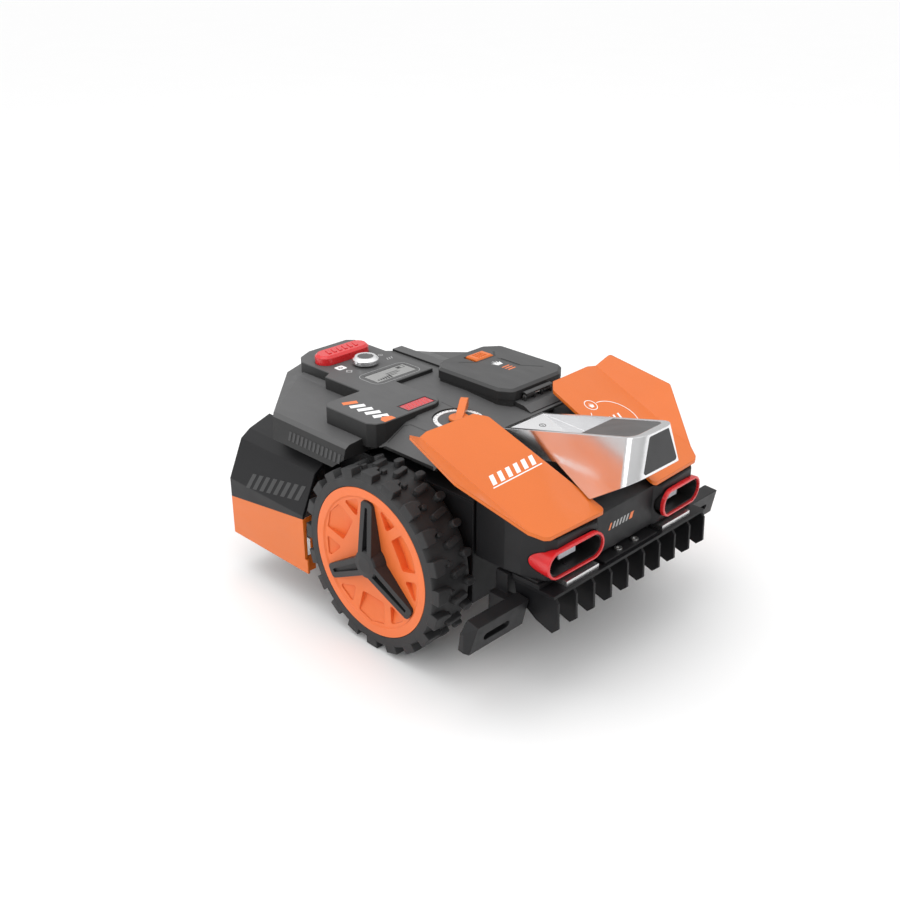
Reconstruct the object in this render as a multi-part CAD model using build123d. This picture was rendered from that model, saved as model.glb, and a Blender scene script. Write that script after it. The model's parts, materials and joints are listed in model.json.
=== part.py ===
from build123d import *
import os
from math import cos, radians, sin

# Robotic lawn mower, millimetres. Z = 0 is the ground, -Y is the front of the machine, and X = 0 is its
# middle plane, so -X is the machine's right side, where the blades reach the edge of the lawn.
# Every node is one separate piece, written to parts/NODE.step.

# ---------------------------------------------------------------- driving dimensions
FRONT_Y = -290.0            # foremost point, the tip of the snout
REAR_Y = 290.0              # rearmost point, the tail of the cover
FIT = 0.05                  # radial clearance of a shaft in its bore
GAP = 0.5                   # clearance between pieces that move past each other
FLOAT = 4.0                 # how far the cover gives when it meets something, each way

# drive wheels
AXLE_Y = -33.0
WHEEL_R = 120.0             # over the lugs
WHEEL_OUTER_X = 220.0
TYRE_W = 62.0
LUG_H = 9.0
SIDEWALL_H = 14.0
CARCASS_R = WHEEL_R - LUG_H
RIM_R = CARCASS_R - SIDEWALL_H
RIM_SEAT_R = RIM_R - 4.5
DISH_R = RIM_R - 13.0       # where the dished face meets the rim's ring
HUB_R = 22.0
HUB_BACK_X = 186.0          # back of the wheel's boss
LUG_COUNT = 20
DISH_DEPTH = 10.0           # how far the wheel's face sinks at the hub
POCKET_DEPTH = 11.0         # of the pockets between the arms
AXLE_R = 8.0
STAR_REACH = DISH_R - 0.2
STAR_FRONT_X = (227.0, 221.5)           # front of the star at the hub and at the arms' tips
STAR_TURN = 0.5             # degrees that the star stands turned at rest

# chassis
FLOOR_Z = 80.0
TUB_WALL = 3.0
TUB_HALF_W = 151.0          # between the drive wheels
TAIL_HALF_W = 178.0         # behind them
TUB_FRONT_Y = -140.0
TUB_TOP_Z = 214.0
TUB_REAR_Y = REAR_Y - 20.0
WHEEL_ARCH_GAP = 6.0
CONSOLE_ARCH_GAP = 4.0
BEHIND_WHEEL_Y = AXLE_Y + WHEEL_R + WHEEL_ARCH_GAP
TAIL_FRONT_Y = BEHIND_WHEEL_Y + 3.0     # the tub widens from here
GEARMOTOR_R = 27.0
GEARBOX_R = 32.0

# top cover
DECK_Z = 262.0              # level of the middle of the deck
DECK_FRONT_Z = 254.5        # at the snout
DECK_FRONT_Y = -80.0
DECK_RAMP_Y = 25.0          # the deck falls from here towards the snout
COVER_WALL = 3.0
BULGE_FRONT_Y = 36.0        # front wall of the wide rear part
SHOULDER_X = 192.0
SHOULDER_Z = 239.0
SKIRT_X = 200.0
SKIRT_Z = 212.0
CORNER_SUM = REAR_Y + 82.0  # |x| + y along the cut-off rear corners
CORNER_Z = (242.0, 224.0)   # level of the cover along the right-hand and the left-hand one
CORNER_SLOPE = 0.43         # how steeply it rises inwards from there
TAIL_CHAMFER_Y = REAR_Y - 140.0         # the tub's own rear corners
TAIL_X = 78.0
DECK_EDGE_X = 155.5
DECK_EDGE_Z = 237.0
CONSOLE_Z = 268.0
LCD_X = (-66.0, 6.0)
LCD_Y = (116.0, 146.0)
WINDOW_X = (-103.0, -54.0)
WINDOW_Y = (18.0, 40.0)
CONSOLE_PLAN = [(-101, 112), (-101, 183), (-88, 190), (-88, 250), (-76, 266), (-54, 276), (15, 276),
                (25, 266), (25, 104), (-45, 104), (-45, 26), (-51, 17), (-61, 13), (-146, 13),
                (-158, 17), (-165, 28), (-165, 103), (-158, 111), (-148, 112)]

# battery lid
LID_X = (6.0, 131.0)
LID_Y = (-49.0, 93.0)
LID_TOP_Z = 281.0
PLINTH_Z = 266.0
LID_WALL = 2.5
HINGE_Y = -53.0
HINGE_Z = 268.5
HINGE_PIN_R = 1.5
BAY_X = (24.0, 114.0)
BAY_Y = (-30.0, 70.0)
BAY_FLOOR_Z = WHEEL_R + GEARMOTOR_R + 3.0
BAY_TOP_Z = 243.0

# controls
STOP_AT = (-35.0, 225.0)
STOP_L = 88.0
STOP_W = 31.0
STOP_H = 13.0
STOP_TRAVEL = 3.0
KNOB_AT = (-31.0, 180.0)
KNOB_R = 18.0
KNOB_TRAVEL = 2.0
DIAL_AT = (-62.0, -30.0)
DIAL_R = 32.5
DIAL_Z = 258.0
LATCH_AT = (76.0, 66.0)
LATCH_L = 32.0
LATCH_W = 22.0
LATCH_TRAVEL = 4.0

# snout
SNOUT_REAR_Y = -80.5
SNOUT_TOP_REAR_Z = 254.5
SNOUT_TOP_FRONT_Y = -283.5
SNOUT_TOP_FRONT_Z = 304.5
SNOUT_CHIN_Z = 257.0        # at FRONT_Y; the front face leans from there back to the top
SNOUT_TOP_HALF_W = 35.0
SNOUT_CHIN_HALF_W = 48.0
SNOUT_BELLY_Y = -222.0      # the chin's underside meets the nose here
SNOUT_WALL = 3.0
SNOUT_CORNER_R = 20.0
PLATE_CORNER_R = 12.0
SNOUT_PLATE_Y = (-270.0, -196.0)
CAMERA_Z = 276.0
CAMERA_R = 8.0

# wing panels, right-hand corners mirrored to the left
WING_T = 4.5
WING_REAR_OUTER = (186.7, -70.8, 285.8)
WING_MID_OUTER = (202.6, -160.0, 267.9)
WING_FRONT_OUTER = (143.9, -245.0, 208.8)
WING_FRONT_INNER = (47.5, -251.6, 209.3)
WING_REAR_INNER = (60.1, -78.4, 277.0)
WING_FOLD_X = 164.0         # where the fold meets the rear edge

# front
LAMP_OUTER = (130.7, -254.1, 171.3)     # centres of the bezel's round ends
LAMP_INNER = (75.6, -259.0, 175.2)
LAMP_R = 18.0
LAMP_RIM = 3.0
LAMP_WRAP = 38.0            # how far the bezel's outer end runs back
LAMP_DEPTH = 40.0
LENS_DEPTH = 18.0
FASCIA_Z = 149.0
HOOD_FRONT_Z = 203.0        # top of the black nose at its front edge
HOOD_RISE = 0.279           # slope of the black nose under the wings
BELLY_GAP = FLOAT * HOOD_RISE + 2 * GAP
COMB_COUNT = 10
COMB_PITCH = 32.0
COMB_TOOTH_T = 3.5
COMB_TOP_Z = 141.0
COMB_TIP_Z = 91.0
COMB_FRONT_Y = -267.5
ARM_X = (150.0, 241.5)
ARM_TOP_Z = 125.0
ARM_BOTTOM_Z = 87.0
ARM_FRONT_Y = -227.5
ARM_SLOT_X = 198.0
ARM_SLOT_L = 42.0
ARM_SLOT_W = 10.0
ARM_SLOT_Z = 103.0

# edge guard, on the right side only
GUARD_X = 220.0
GUARD_Y = (BEHIND_WHEEL_Y, 249.0)
GUARD_FOOT_Z = 53.0
GUARD_SPLIT_Z = (131.0, 109.0)          # front, rear
GUARD_BAND_Z = 136.0        # where the steep flank turns into the shoulder
GUARD_WALL = 3.0

# cutter
CUT_AT = (-95.0, 165.0)
DISC_R = 62.0
DISC_Z = 46.0
DISC_T = 4.0
BLADE_COUNT = 3
BLADE_PIVOT_R = DISC_R - 10.0
BLADE_L = 40.0
BLADE_W = 16.0
BLADE_T = 1.2
LIFT = 15.0                 # travel each way
MOTOR_R = 32.0
POST_R = 5.0
POST_SPREAD = 46.0

# caster
CASTER_AT = (45.0, 212.0)
CASTER_R = 30.0
CASTER_W = 24.0
CASTER_TRAIL = 20.0
CASTER_STEM_R = 7.0


# ---------------------------------------------------------------- helpers
def outline(points, radius=0.0):
    face = make_face(Polyline(*points, close=True))
    return fillet(face.vertices(), radius) if radius else face


def prism_z(points, low, high, radius=0.0):
    return extrude(Pos(0, 0, low) * outline(points, radius), high - low)


def prism_x(points, low, high, radius=0.0):
    """A profile of (y, z) points, carried along X."""
    return extrude(Plane.YZ.offset(low) * outline(points, radius), high - low)


def prism_y(points, low, high, radius=0.0):
    """A profile of (x, z) points, carried along Y."""
    back = Plane(origin=(0, high, 0), x_dir=(1, 0, 0), z_dir=(0, -1, 0))
    return extrude(back * outline(points, radius), high - low)


def block(x, y, z):
    size = [span[1] - span[0] for span in (x, y, z)]
    middle = [(span[0] + span[1]) / 2 for span in (x, y, z)]
    return Pos(*middle) * Box(*size)


def post(x, y, low, high, radius):
    return Pos(x, y, (low + high) / 2) * Cylinder(radius, high - low)


def bar_x(y, z, low, high, radius):
    return Pos((low + high) / 2, y, z) * Rot(0, 90, 0) * Cylinder(radius, high - low)


def both_sides(points):
    """Close a right-half outline, given with X as a distance, into a symmetric one."""
    return [(-x, y) for x, y in points] + [(x, y) for x, y in reversed(points)]


def mirrored(part):
    return mirror(part, about=Plane.YZ)


def with_mirror(part):
    """The right-hand piece and its left-hand twin, as two solids of one node."""
    return Part() + [part, mirrored(part)]


def spun(profile):
    """A profile of (x, radius) points, turned about the X axis."""
    return revolve(outline(profile), Axis.X)


def polar(radius, angle):
    return (radius * cos(radians(angle)), radius * sin(radians(angle)))


# ---------------------------------------------------------------- drive wheels
def tyre():
    inner_x = WHEEL_OUTER_X - TYRE_W
    edge = 6.0
    carcass = spun([(-WHEEL_OUTER_X + 4, RIM_SEAT_R), (-WHEEL_OUTER_X + 4, RIM_R),
                    (-WHEEL_OUTER_X, RIM_R + 0.3), (-WHEEL_OUTER_X, CARCASS_R - 3),
                    (-WHEEL_OUTER_X + edge, CARCASS_R), (-inner_x - edge, CARCASS_R),
                    (-inner_x, CARCASS_R - 3), (-inner_x, RIM_SEAT_R)])
    root_r = CARCASS_R - 4
    pitch = 360 / LUG_COUNT
    # a row is its X span, how long its lugs are round the wheel, and its place in the pitch
    rows = (((-WHEEL_OUTER_X, -WHEEL_OUTER_X + 23), 19.0, 0.0),
            ((-WHEEL_OUTER_X + 28, -WHEEL_OUTER_X + 42), 8.0, 0.35),
            ((-inner_x - 17, -inner_x), 12.0, 0.7))
    lugs = []
    for span, length, place in rows:
        lug = block(span, (-length / 2, length / 2), (root_r, WHEEL_R))
        lug = chamfer(lug.faces().sort_by(Axis.Z)[-1].edges(), 2.0)
        lugs += [Rot((n + place) * pitch, 0, 0) * lug for n in range(LUG_COUNT)]
    bore = Rot(0, 90, 0) * Cylinder(RIM_SEAT_R, 3 * WHEEL_OUTER_X)
    return carcass + lugs - bore


def rim_face_x(radius):
    """Depth of the dished wheel face at a radius."""
    slope = (DISH_DEPTH - 2.0) / (DISH_R - HUB_R)
    return -(WHEEL_OUTER_X - DISH_DEPTH) - slope * (radius - HUB_R)


def wheel_rim():
    inner_x = WHEEL_OUTER_X - TYRE_W + 2
    solid = spun([(-WHEEL_OUTER_X, RIM_R), (-WHEEL_OUTER_X, RIM_R - 11), (rim_face_x(DISH_R), DISH_R),
                  (rim_face_x(HUB_R), HUB_R), (rim_face_x(HUB_R), AXLE_R), (-HUB_BACK_X, AXLE_R),
                  (-HUB_BACK_X, HUB_R + 2), (-203.0, DISH_R - 2), (-inner_x, RIM_SEAT_R - 6),
                  (-inner_x, RIM_SEAT_R),
                  (-WHEEL_OUTER_X + 4, RIM_SEAT_R), (-WHEEL_OUTER_X + 4, RIM_R)])
    low, high = DISH_R - 30, DISH_R - 3
    depth = spun([(-WHEEL_OUTER_X - 6, HUB_R + 6), (-WHEEL_OUTER_X - 6, DISH_R + 1),
                  (rim_face_x(DISH_R) + 0.5, DISH_R + 1), (rim_face_x(low) + POCKET_DEPTH, low - 4),
                  (rim_face_x(low) + POCKET_DEPTH, HUB_R + 6)])
    window = [polar(high, -17), polar(DISH_R, 0), polar(high, 17), polar(low, 21), polar(low, -21)]
    corner = [polar(high, 26), polar(high + 1, 47), polar(low + 3, 33)]
    cutters = []
    for middle in (30, 150, 270):
        for shape in (window, corner, [(u, -v) for u, v in corner]):
            pocket = prism_x(shape, -WHEEL_OUTER_X - 5, -150, radius=3.0)
            cutters.append(Rot(middle + STAR_TURN, 0, 0) * pocket)
    pockets = Part() + cutters
    return solid - (pockets & depth)


def hub_star():
    """Three-armed trim that stands proud of the dished face, deepest at the hub."""
    tip = STAR_REACH
    hub_x, tip_x = STAR_FRONT_X
    cap_x = rim_face_x(HUB_R)
    band = spun([(cap_x, HUB_R), (rim_face_x(tip), tip), (-tip_x, tip), (-hub_x, 16.0), (-hub_x, 14.0),
                 (cap_x, 14.0)])
    arm = prism_x([(8, -12), (tip - 4, -9.5), (tip - 1, -7), (tip, 0), (tip - 1, 7), (tip - 4, 9.5), (8, 12)],
                  -240, -190)
    groove = prism_x([(17, -4.5), (tip - 8, -2.2), (tip - 8, 2.2), (17, 4.5)], -240, -190)
    floor = spun([(-hub_x + 7, 14.0), (-tip_x + 2.5, tip), (-250.0, tip), (-250.0, 14.0)])
    arms = []
    for turn in (90, 210, 330):
        arms.append(Rot(turn + STAR_TURN, 0, 0) * ((arm & band) - (groove & floor)))
    cap = spun([(cap_x, 0.0), (cap_x, 21.0), (-hub_x + 2, 18.5), (-hub_x, 17.0), (-hub_x - 0.8, 10.0),
                (-hub_x - 0.8, 0.0)])
    return cap + arms


def wheel_axle():
    shaft = Pos(-153, 0, 0) * Rot(0, 90, 0) * Cylinder(AXLE_R, 100)
    collar = Pos(-155, 0, 0) * Rot(0, 90, 0) * Cylinder(13, 6)
    return shaft + collar


def at_axle(part):
    return Pos(0, AXLE_Y, WHEEL_R) * part


# ---------------------------------------------------------------- chassis
def arch_cut(gap):
    """The room round both drive wheels, outside the narrow part of the machine."""
    reach = WHEEL_R + gap
    right = bar_x(AXLE_Y, WHEEL_R, -WHEEL_OUTER_X - 30, -TUB_HALF_W, reach)
    return right + mirrored(right)


def tub_outline(inset):
    return both_sides([(TUB_HALF_W - inset, TUB_FRONT_Y + inset), (TUB_HALF_W - inset, TAIL_FRONT_Y + inset),
                       (TAIL_HALF_W - inset, TAIL_FRONT_Y + inset), (TAIL_HALF_W - inset, TAIL_CHAMFER_Y),
                       (TAIL_X - inset, TUB_REAR_Y - inset)])


def chassis_tub():
    tub = prism_z(tub_outline(0), FLOOR_Z, TUB_TOP_Z)
    tub -= prism_z(tub_outline(TUB_WALL), FLOOR_Z + TUB_WALL, TUB_TOP_Z + 1)
    cut_x, cut_y = CUT_AT
    tub -= post(cut_x, cut_y, FLOOR_Z - 1, FLOOR_Z + 10, MOTOR_R + 4)
    tub -= post(*CASTER_AT, FLOOR_Z - 1, FLOOR_Z + 10, CASTER_STEM_R + 7)
    tub -= bar_x(AXLE_Y, WHEEL_R, -TUB_HALF_W - 5, TUB_HALF_W + 5, 16)
    nose = block((-146, 146), (-236, TUB_FRONT_Y + TUB_WALL), (FASCIA_Z - 3, FASCIA_Z))
    return tub + nose


def deck_plate():
    """The sealed lid of the tub, under the cover."""
    plate = prism_z(tub_outline(0), TUB_TOP_Z, TUB_TOP_Z + TUB_WALL)
    plate -= block(BAY_X, BAY_Y, (TUB_TOP_Z - 1, TUB_TOP_Z + 10))
    return plate


def battery_bay():
    wall = 2.5
    lip = 4.0
    outer = block((BAY_X[0], BAY_X[1]), BAY_Y, (BAY_FLOOR_Z, BAY_TOP_Z))
    rim_z = TUB_TOP_Z + TUB_WALL
    outer += block((BAY_X[0] - lip, BAY_X[1] + lip), (BAY_Y[0] - lip, BAY_Y[1] + lip), (rim_z, rim_z + 3))
    inner = block((BAY_X[0] + wall, BAY_X[1] - wall), (BAY_Y[0] + wall, BAY_Y[1] - wall),
                  (BAY_FLOOR_Z + wall, BAY_TOP_Z + 5))
    return outer - inner


def battery_pack():
    pack = block((BAY_X[0] + 3, BAY_X[0] + 67), (BAY_Y[0] + 3, BAY_Y[1] - 3), (BAY_FLOOR_Z + 2.5, 232))
    pack = fillet(pack.edges().filter_by(Axis.Z), 5)
    grip = block((BAY_X[0] + 20, BAY_X[0] + 50), (BAY_Y[0] + 25, BAY_Y[1] - 25), (232, 238))
    return pack + grip


def drive_gearmotor():
    wall_x = -TUB_HALF_W + TUB_WALL + GAP
    can = bar_x(AXLE_Y, WHEEL_R, -116, -52, GEARMOTOR_R)
    gearbox = bar_x(AXLE_Y, WHEEL_R, wall_x, -116, GEARBOX_R)
    foot = block((-140, -70), (AXLE_Y - 22, AXLE_Y + 22), (FLOOR_Z + TUB_WALL, WHEEL_R - 20))
    bore = bar_x(AXLE_Y, WHEEL_R, -150, -102, AXLE_R + FIT)
    return can + gearbox + foot - bore


def main_pcb():
    board_z = FLOOR_Z + 30
    board = block((-45, 45), (-130, -45), (board_z, board_z + 1.6))
    chips = [block((x, x + 14), (y, y + 12), (board_z + 1.6, board_z + 5))
             for x in (-35, -8, 20) for y in (-122, -95, -68)]
    legs = [post(x, y, FLOOR_Z + TUB_WALL, board_z, 3) for x in (-40, 40) for y in (-125, -50)]
    return board + chips + legs


def cover_mounts():
    """Rubber posts that the cover floats on."""
    base = TUB_TOP_Z + TUB_WALL
    pads = []
    for x, y, top in ((-50, 110, DECK_Z), (50, 110, DECK_Z), (-60, -62, DECK_FRONT_Z + 1),
                      (60, -62, DECK_FRONT_Z + 1)):
        reach = top - COVER_WALL - 2 * GAP - base
        pads.append(Pos(x, y, base) * (Pos(0, 0, reach / 2) * Cylinder(8, reach)
                                       + Pos(0, 0, reach / 3) * Cylinder(11, 4)))
    return Part() + pads


def body_screws():
    """Round-headed screws: eight under the tub, two on the brow of the comb."""
    heads = [(x, y, FLOOR_Z - 2.5, -1) for x in (-140, 140) for y in (-128, 84)]
    heads += [(x, y, FLOOR_Z - 2.5, -1) for x, y in ((-165, 110), (165, 110), (-80, 256), (80, 256))]
    heads += [(x, -250, COMB_TOP_Z + 3, 1) for x in (-16, 16)]
    screws = []
    for x, y, z, way in heads:
        head = post(x, y, z, z + 2.5, 5)
        recess = (z + 1, z + 3) if way > 0 else (z - 1, z + 1.5)
        screws.append(head - post(x, y, *recess, 2.2))
    return Part() + screws


# ---------------------------------------------------------------- front
def fascia_outline():
    return both_sides([(152, -146), (152, -190), (149, -212), (140, -240), (130, -249), (64, -252.5),
                       (54, -246), (0.01, -246)][:-1])


def lamp_frame(side):
    """Local frame of a headlamp: origin midway, X along the lamp towards the machine's outside."""
    outer = Vector(*LAMP_OUTER)
    inner = Vector(*LAMP_INNER)
    along = (outer - inner).normalized()
    facing = Vector(0, 0, 1).cross(along).normalized() * -1
    middle = (outer + inner) * 0.5
    if side < 0:
        along = Vector(-along.X, along.Y, along.Z)
        facing = Vector(-facing.X, facing.Y, facing.Z)
        middle = Vector(-middle.X, middle.Y, middle.Z)
    return Plane(origin=middle, x_dir=along, z_dir=facing)


LAMP_SPAN = (Vector(*LAMP_OUTER) - Vector(*LAMP_INNER)).length


def lamp_body(radius, low, high, taper=0):
    """A stadium prism round the lamp's axis, from depth low to high along its facing direction."""
    shape = SlotOverall(LAMP_SPAN + 2 * radius, 2 * radius)
    return extrude(Pos(0, 0, low) * shape, high - low, taper=taper)


def headlamp_bezel():
    ring = lamp_body(LAMP_R, -LAMP_WRAP, 0) - lamp_body(LAMP_R - LAMP_RIM, -LAMP_WRAP - 1, 1)
    ring = chamfer(ring.faces().sort_by(Axis.Z)[-1].outer_wire().edges(), 0.8)
    far = LAMP_SPAN / 2 + LAMP_R + 1
    away = [(-far, -5), (far * 0.45, -7), (far, -LAMP_WRAP), (far, -LAMP_WRAP - 5), (-far, -LAMP_WRAP - 5)]
    cutter = extrude(Plane(origin=(0, 50, 0), x_dir=(1, 0, 0), z_dir=(0, -1, 0)) * outline(away), 100)
    return lamp_frame(-1) * (ring - cutter)


def headlamp_shroud():
    wall = 2.0
    radius = LAMP_R - LAMP_RIM - 0.05
    cup = lamp_body(radius, -LAMP_DEPTH, -3)
    hollow = extrude(Pos(0, 0, -3) * SlotOverall(LAMP_SPAN + 2 * (radius - wall), 2 * (radius - wall)),
                     -(LAMP_DEPTH - 3 - wall), taper=6)
    ledge = block((-LAMP_SPAN, LAMP_SPAN), (-2, 1.5), (-LAMP_DEPTH, -LAMP_DEPTH * 0.6))
    return lamp_frame(-1) * (cup - hollow + (ledge & lamp_body(radius - wall, -LAMP_DEPTH, 0)))


def headlamp_lens():
    lens = block((-13, 14), (-7.8, 5.8), (-LENS_DEPTH, 2.5 - LENS_DEPTH))
    stalk = block((-5, 5), (-1.5, 1), (-LAMP_DEPTH * 0.6, -LENS_DEPTH))
    return lamp_frame(-1) * (lens + stalk)


def hood_z(y):
    """Top of the black nose under the wings."""
    return HOOD_FRONT_Z + (y + 244) * HOOD_RISE


def front_fascia():
    wall = 3.0
    side = [(-146, FASCIA_Z), (-249, FASCIA_Z), (-253, 160), (-253, 199), (-244, HOOD_FRONT_Z),
            (-90, hood_z(-90)), (-90, 222), (-146, 205)]
    hood = prism_x(side, -160, 160)
    shape = prism_z(fascia_outline(), FASCIA_Z - 1, 260)
    skin = hood & shape
    inner_side = [(-140, FASCIA_Z - 2), (-245, FASCIA_Z - 2), (-249, 161), (-249, 196), (-242, 199),
                  (-88, 242), (-88, 150)]
    inner = prism_x(inner_side, -160 + wall, 160 - wall)
    inner_outline = both_sides([(149, -150), (149, -189), (146, -210), (137, -237), (128, -245.5), (60, -249),
                                (52, -242.5)])
    skin -= inner & prism_z(inner_outline, FASCIA_Z - 2, 258)
    skin -= block((-200, 200), (-146, -80), (100, TUB_TOP_Z + TUB_WALL + GAP))
    for side_sign in (-1, 1):
        room = lamp_frame(side_sign) * lamp_body(LAMP_R + 0.3, -LAMP_WRAP - 3, 30)
        skin -= room
    return skin


def comb_tooth_profile():
    return [(-200, COMB_TOP_Z), (-258, COMB_TOP_Z), (-266, 132), (COMB_FRONT_Y, COMB_TIP_Z + 8),
            (-259, COMB_TIP_Z), (-236, COMB_TIP_Z + 7), (-205, 118)]


def grass_comb():
    half = COMB_PITCH * (COMB_COUNT - 1) / 2
    bar = block((-half - 4, half + 4), (-262, -200), (COMB_TOP_Z - 4, COMB_TOP_Z))
    teeth = []
    for n in range(COMB_COUNT):
        x = -half + n * COMB_PITCH
        teeth.append(prism_x(comb_tooth_profile(), x - COMB_TOOTH_T / 2, x + COMB_TOOTH_T / 2))
    return bar + teeth


def comb_clamp_plate():
    half = COMB_PITCH * (COMB_COUNT - 1) / 2
    plate = block((-half - 4, half + 4), (-240, -199), (COMB_TOP_Z, FASCIA_Z - 3))
    brow = block((-52, 52), (-258, -240), (COMB_TOP_Z, COMB_TOP_Z + 3))
    return plate + brow


def charging_contacts():
    strip = block((63, 121), (-258, -240), (COMB_TOP_Z, FASCIA_Z - 1.5))
    return strip + mirrored(strip)


def bumper_arm():
    """A bar that reaches out in front of the wheel, leaning, with a slot along it."""
    rear_y = ARM_FRONT_Y + 18
    side = [(ARM_FRONT_Y, ARM_TOP_Z - 1), (rear_y, ARM_TOP_Z + 1), (rear_y + 5, ARM_BOTTOM_Z + 2),
            (ARM_FRONT_Y + 9, ARM_BOTTOM_Z)]
    bar = prism_x(side, -ARM_X[1], -ARM_X[0])
    front = [(-ARM_X[1], ARM_BOTTOM_Z - 5), (-ARM_X[1], ARM_TOP_Z - 13), (-ARM_X[1] + 12, ARM_TOP_Z + 6),
             (-ARM_X[0] + 1, ARM_TOP_Z + 6), (-ARM_X[0] + 1, ARM_BOTTOM_Z - 5)]
    bar = bar & prism_y(front, ARM_FRONT_Y - 5, ARM_FRONT_Y + 30)
    plan = [(-ARM_X[1], ARM_FRONT_Y + 15), (-ARM_X[1] + 9, ARM_FRONT_Y - 3), (-ARM_X[0] + 1, ARM_FRONT_Y - 3),
            (-ARM_X[0] + 1, rear_y + 8), (-ARM_X[1], rear_y + 8)]
    bar = bar & prism_z(plan, ARM_BOTTOM_Z - 5, ARM_TOP_Z + 8)
    slot = Pos(-ARM_SLOT_X, ARM_FRONT_Y, ARM_SLOT_Z) * Rot(90, 0, 0) * extrude(
        SlotOverall(ARM_SLOT_L, ARM_SLOT_W), 40, both=True)
    elbow = block((-ARM_X[0] - 16, -ARM_X[0] + 1), (-212, -180), (ARM_BOTTOM_Z + 6, ARM_TOP_Z - 4))
    root = block((-ARM_X[0] - 4, -118), (-198, -180), (ARM_BOTTOM_Z + 6, FASCIA_Z - 3))
    return bar - slot + elbow + root


# ---------------------------------------------------------------- edge guard
def guard_section(inset, foot_z):
    """Section across the guard at its front, as (x, z): a steep flank and a shoulder under the cover."""
    edge = GUARD_X - inset
    return [(-edge, foot_z), (-edge, GUARD_BAND_Z - inset), (-edge + 23, 188 - inset),
            (-edge + 38, 198 - inset), (-148, 209 - inset), (-148, foot_z)]


def guard_solid(inset, foot_z):
    return prism_y(guard_section(inset, foot_z), GUARD_Y[0], GUARD_Y[1] - inset)


def guard_split(low_side):
    """Everything below or above the line between the skirt and the shell."""
    front = (GUARD_Y[0] - 20, GUARD_SPLIT_Z[0] + 3)
    rear = (GUARD_Y[1] + 20, GUARD_SPLIT_Z[1] - 3)
    far = 0 if low_side else 400
    return prism_x([front, rear, (rear[0], far), (front[0], far)], -300, -100)


def guard_walls():
    outer = guard_solid(0, GUARD_FOOT_Z)
    hollow = guard_solid(GUARD_WALL, GUARD_FOOT_Z - 5)
    room = prism_z(tub_outline(-0.2), FLOOR_Z - 30, TUB_TOP_Z + 20)
    return outer - hollow - room


def edge_guard_shell():
    return guard_walls() & guard_split(False)


def edge_guard_skirt():
    """The lower band, with a slotted flange and a toe at its front end."""
    front = GUARD_Y[0]
    flange = block((-GUARD_X, -GUARD_X + 17), (front, front + GUARD_WALL), (GUARD_FOOT_Z, 200))
    flange -= block((-GUARD_X + 5, -GUARD_X + 12), (front - 1, front + GUARD_WALL + 1),
                    (GUARD_FOOT_Z + 22, GUARD_SPLIT_Z[0] - 12))
    toe = block((-GUARD_X, -GUARD_X + GUARD_WALL), (front - 5, front), (GUARD_FOOT_Z, GUARD_FOOT_Z + 20))
    return (guard_walls() + flange + toe) & guard_split(True)


# ---------------------------------------------------------------- top cover
def mirrored_section(half):
    return [(-x, z) for x, z in half] + [(x, z) for x, z in reversed(half)]


def cover_solid(inset):
    """The cover's outer form, or with an inset, the room under it."""
    drop = 2 if inset else 0
    top = DECK_Z - inset
    tail_half = [(SKIRT_X - inset, SKIRT_Z - drop), (SHOULDER_X - inset, SHOULDER_Z - inset),
                 (SHOULDER_X - 6 - inset, SHOULDER_Z + 4 - inset), (98, 251 - inset), (64, top)]
    tail = prism_y(mirrored_section(tail_half), BULGE_FRONT_Y + inset, REAR_Y - inset)
    corner = CORNER_SUM - inset * 1.414
    tail = tail & prism_z(both_sides([(SKIRT_X + 1, BULGE_FRONT_Y - 1), (SKIRT_X + 1, corner - SKIRT_X - 1),
                                      (corner - REAR_Y, REAR_Y)]), SKIRT_Z - 5, 300)
    rear_wall = [(REAR_Y + 10, SKIRT_Z - 5), (REAR_Y - inset, SKIRT_Z), (REAR_Y - 2 - inset, SHOULDER_Z),
                 (REAR_Y - 12 - inset, DECK_Z + 1), (REAR_Y + 10, DECK_Z + 1)]
    tail -= prism_x(rear_wall, -250, 250)
    reach = 150
    for turn, edge_z in zip((45, -45), CORNER_Z):
        low = edge_z - inset
        slope = [(0, low), (0, 320), (-reach, 320), (-reach, low + CORNER_SLOPE * reach)]
        tail -= Rot(0, 0, turn) * Pos(0, CORNER_SUM / 2 ** 0.5, 0) * prism_x(slope, -260, 260)
    edge = DECK_EDGE_X - inset
    low = SKIRT_Z - 2 if inset else DECK_EDGE_Z - 8
    nose_half = [(edge, low), (edge, DECK_EDGE_Z - inset), (112, 258 - inset), (98, top - 3), (90, top)]
    start = DECK_FRONT_Y - 5 if inset else DECK_FRONT_Y
    nose = prism_y(mirrored_section(nose_half), start, BULGE_FRONT_Y + 2 * COVER_WALL)
    ramp = [(DECK_FRONT_Y - 20, DECK_FRONT_Z - inset), (DECK_FRONT_Y, DECK_FRONT_Z - inset),
            (DECK_RAMP_Y, DECK_Z - inset), (DECK_RAMP_Y, DECK_Z + 20), (DECK_FRONT_Y - 20, DECK_Z + 20)]
    nose -= prism_x(ramp, -200, 200)
    return tail + nose


def plinth_outline(grow):
    (x0, x1), (y0, y1) = LID_X, LID_Y
    cut = 22
    points = [(x0 + cut / 2, y0), (x1 - cut, y0), (x1, y0 + cut * 0.7), (x1, y1 - cut * 0.8), (x1 - cut, y1),
              (x0 + cut, y1), (x0, y1 - cut * 0.8), (x0, y0 + cut * 0.8)]
    middle_x, middle_y = (x0 + x1) / 2, (y0 + y1) / 2
    scale_x = 1 + 2 * grow / (x1 - x0)
    scale_y = 1 + 2 * grow / (y1 - y0)
    return [(middle_x + (x - middle_x) * scale_x, middle_y + (y - middle_y) * scale_y) for x, y in points]


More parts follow.
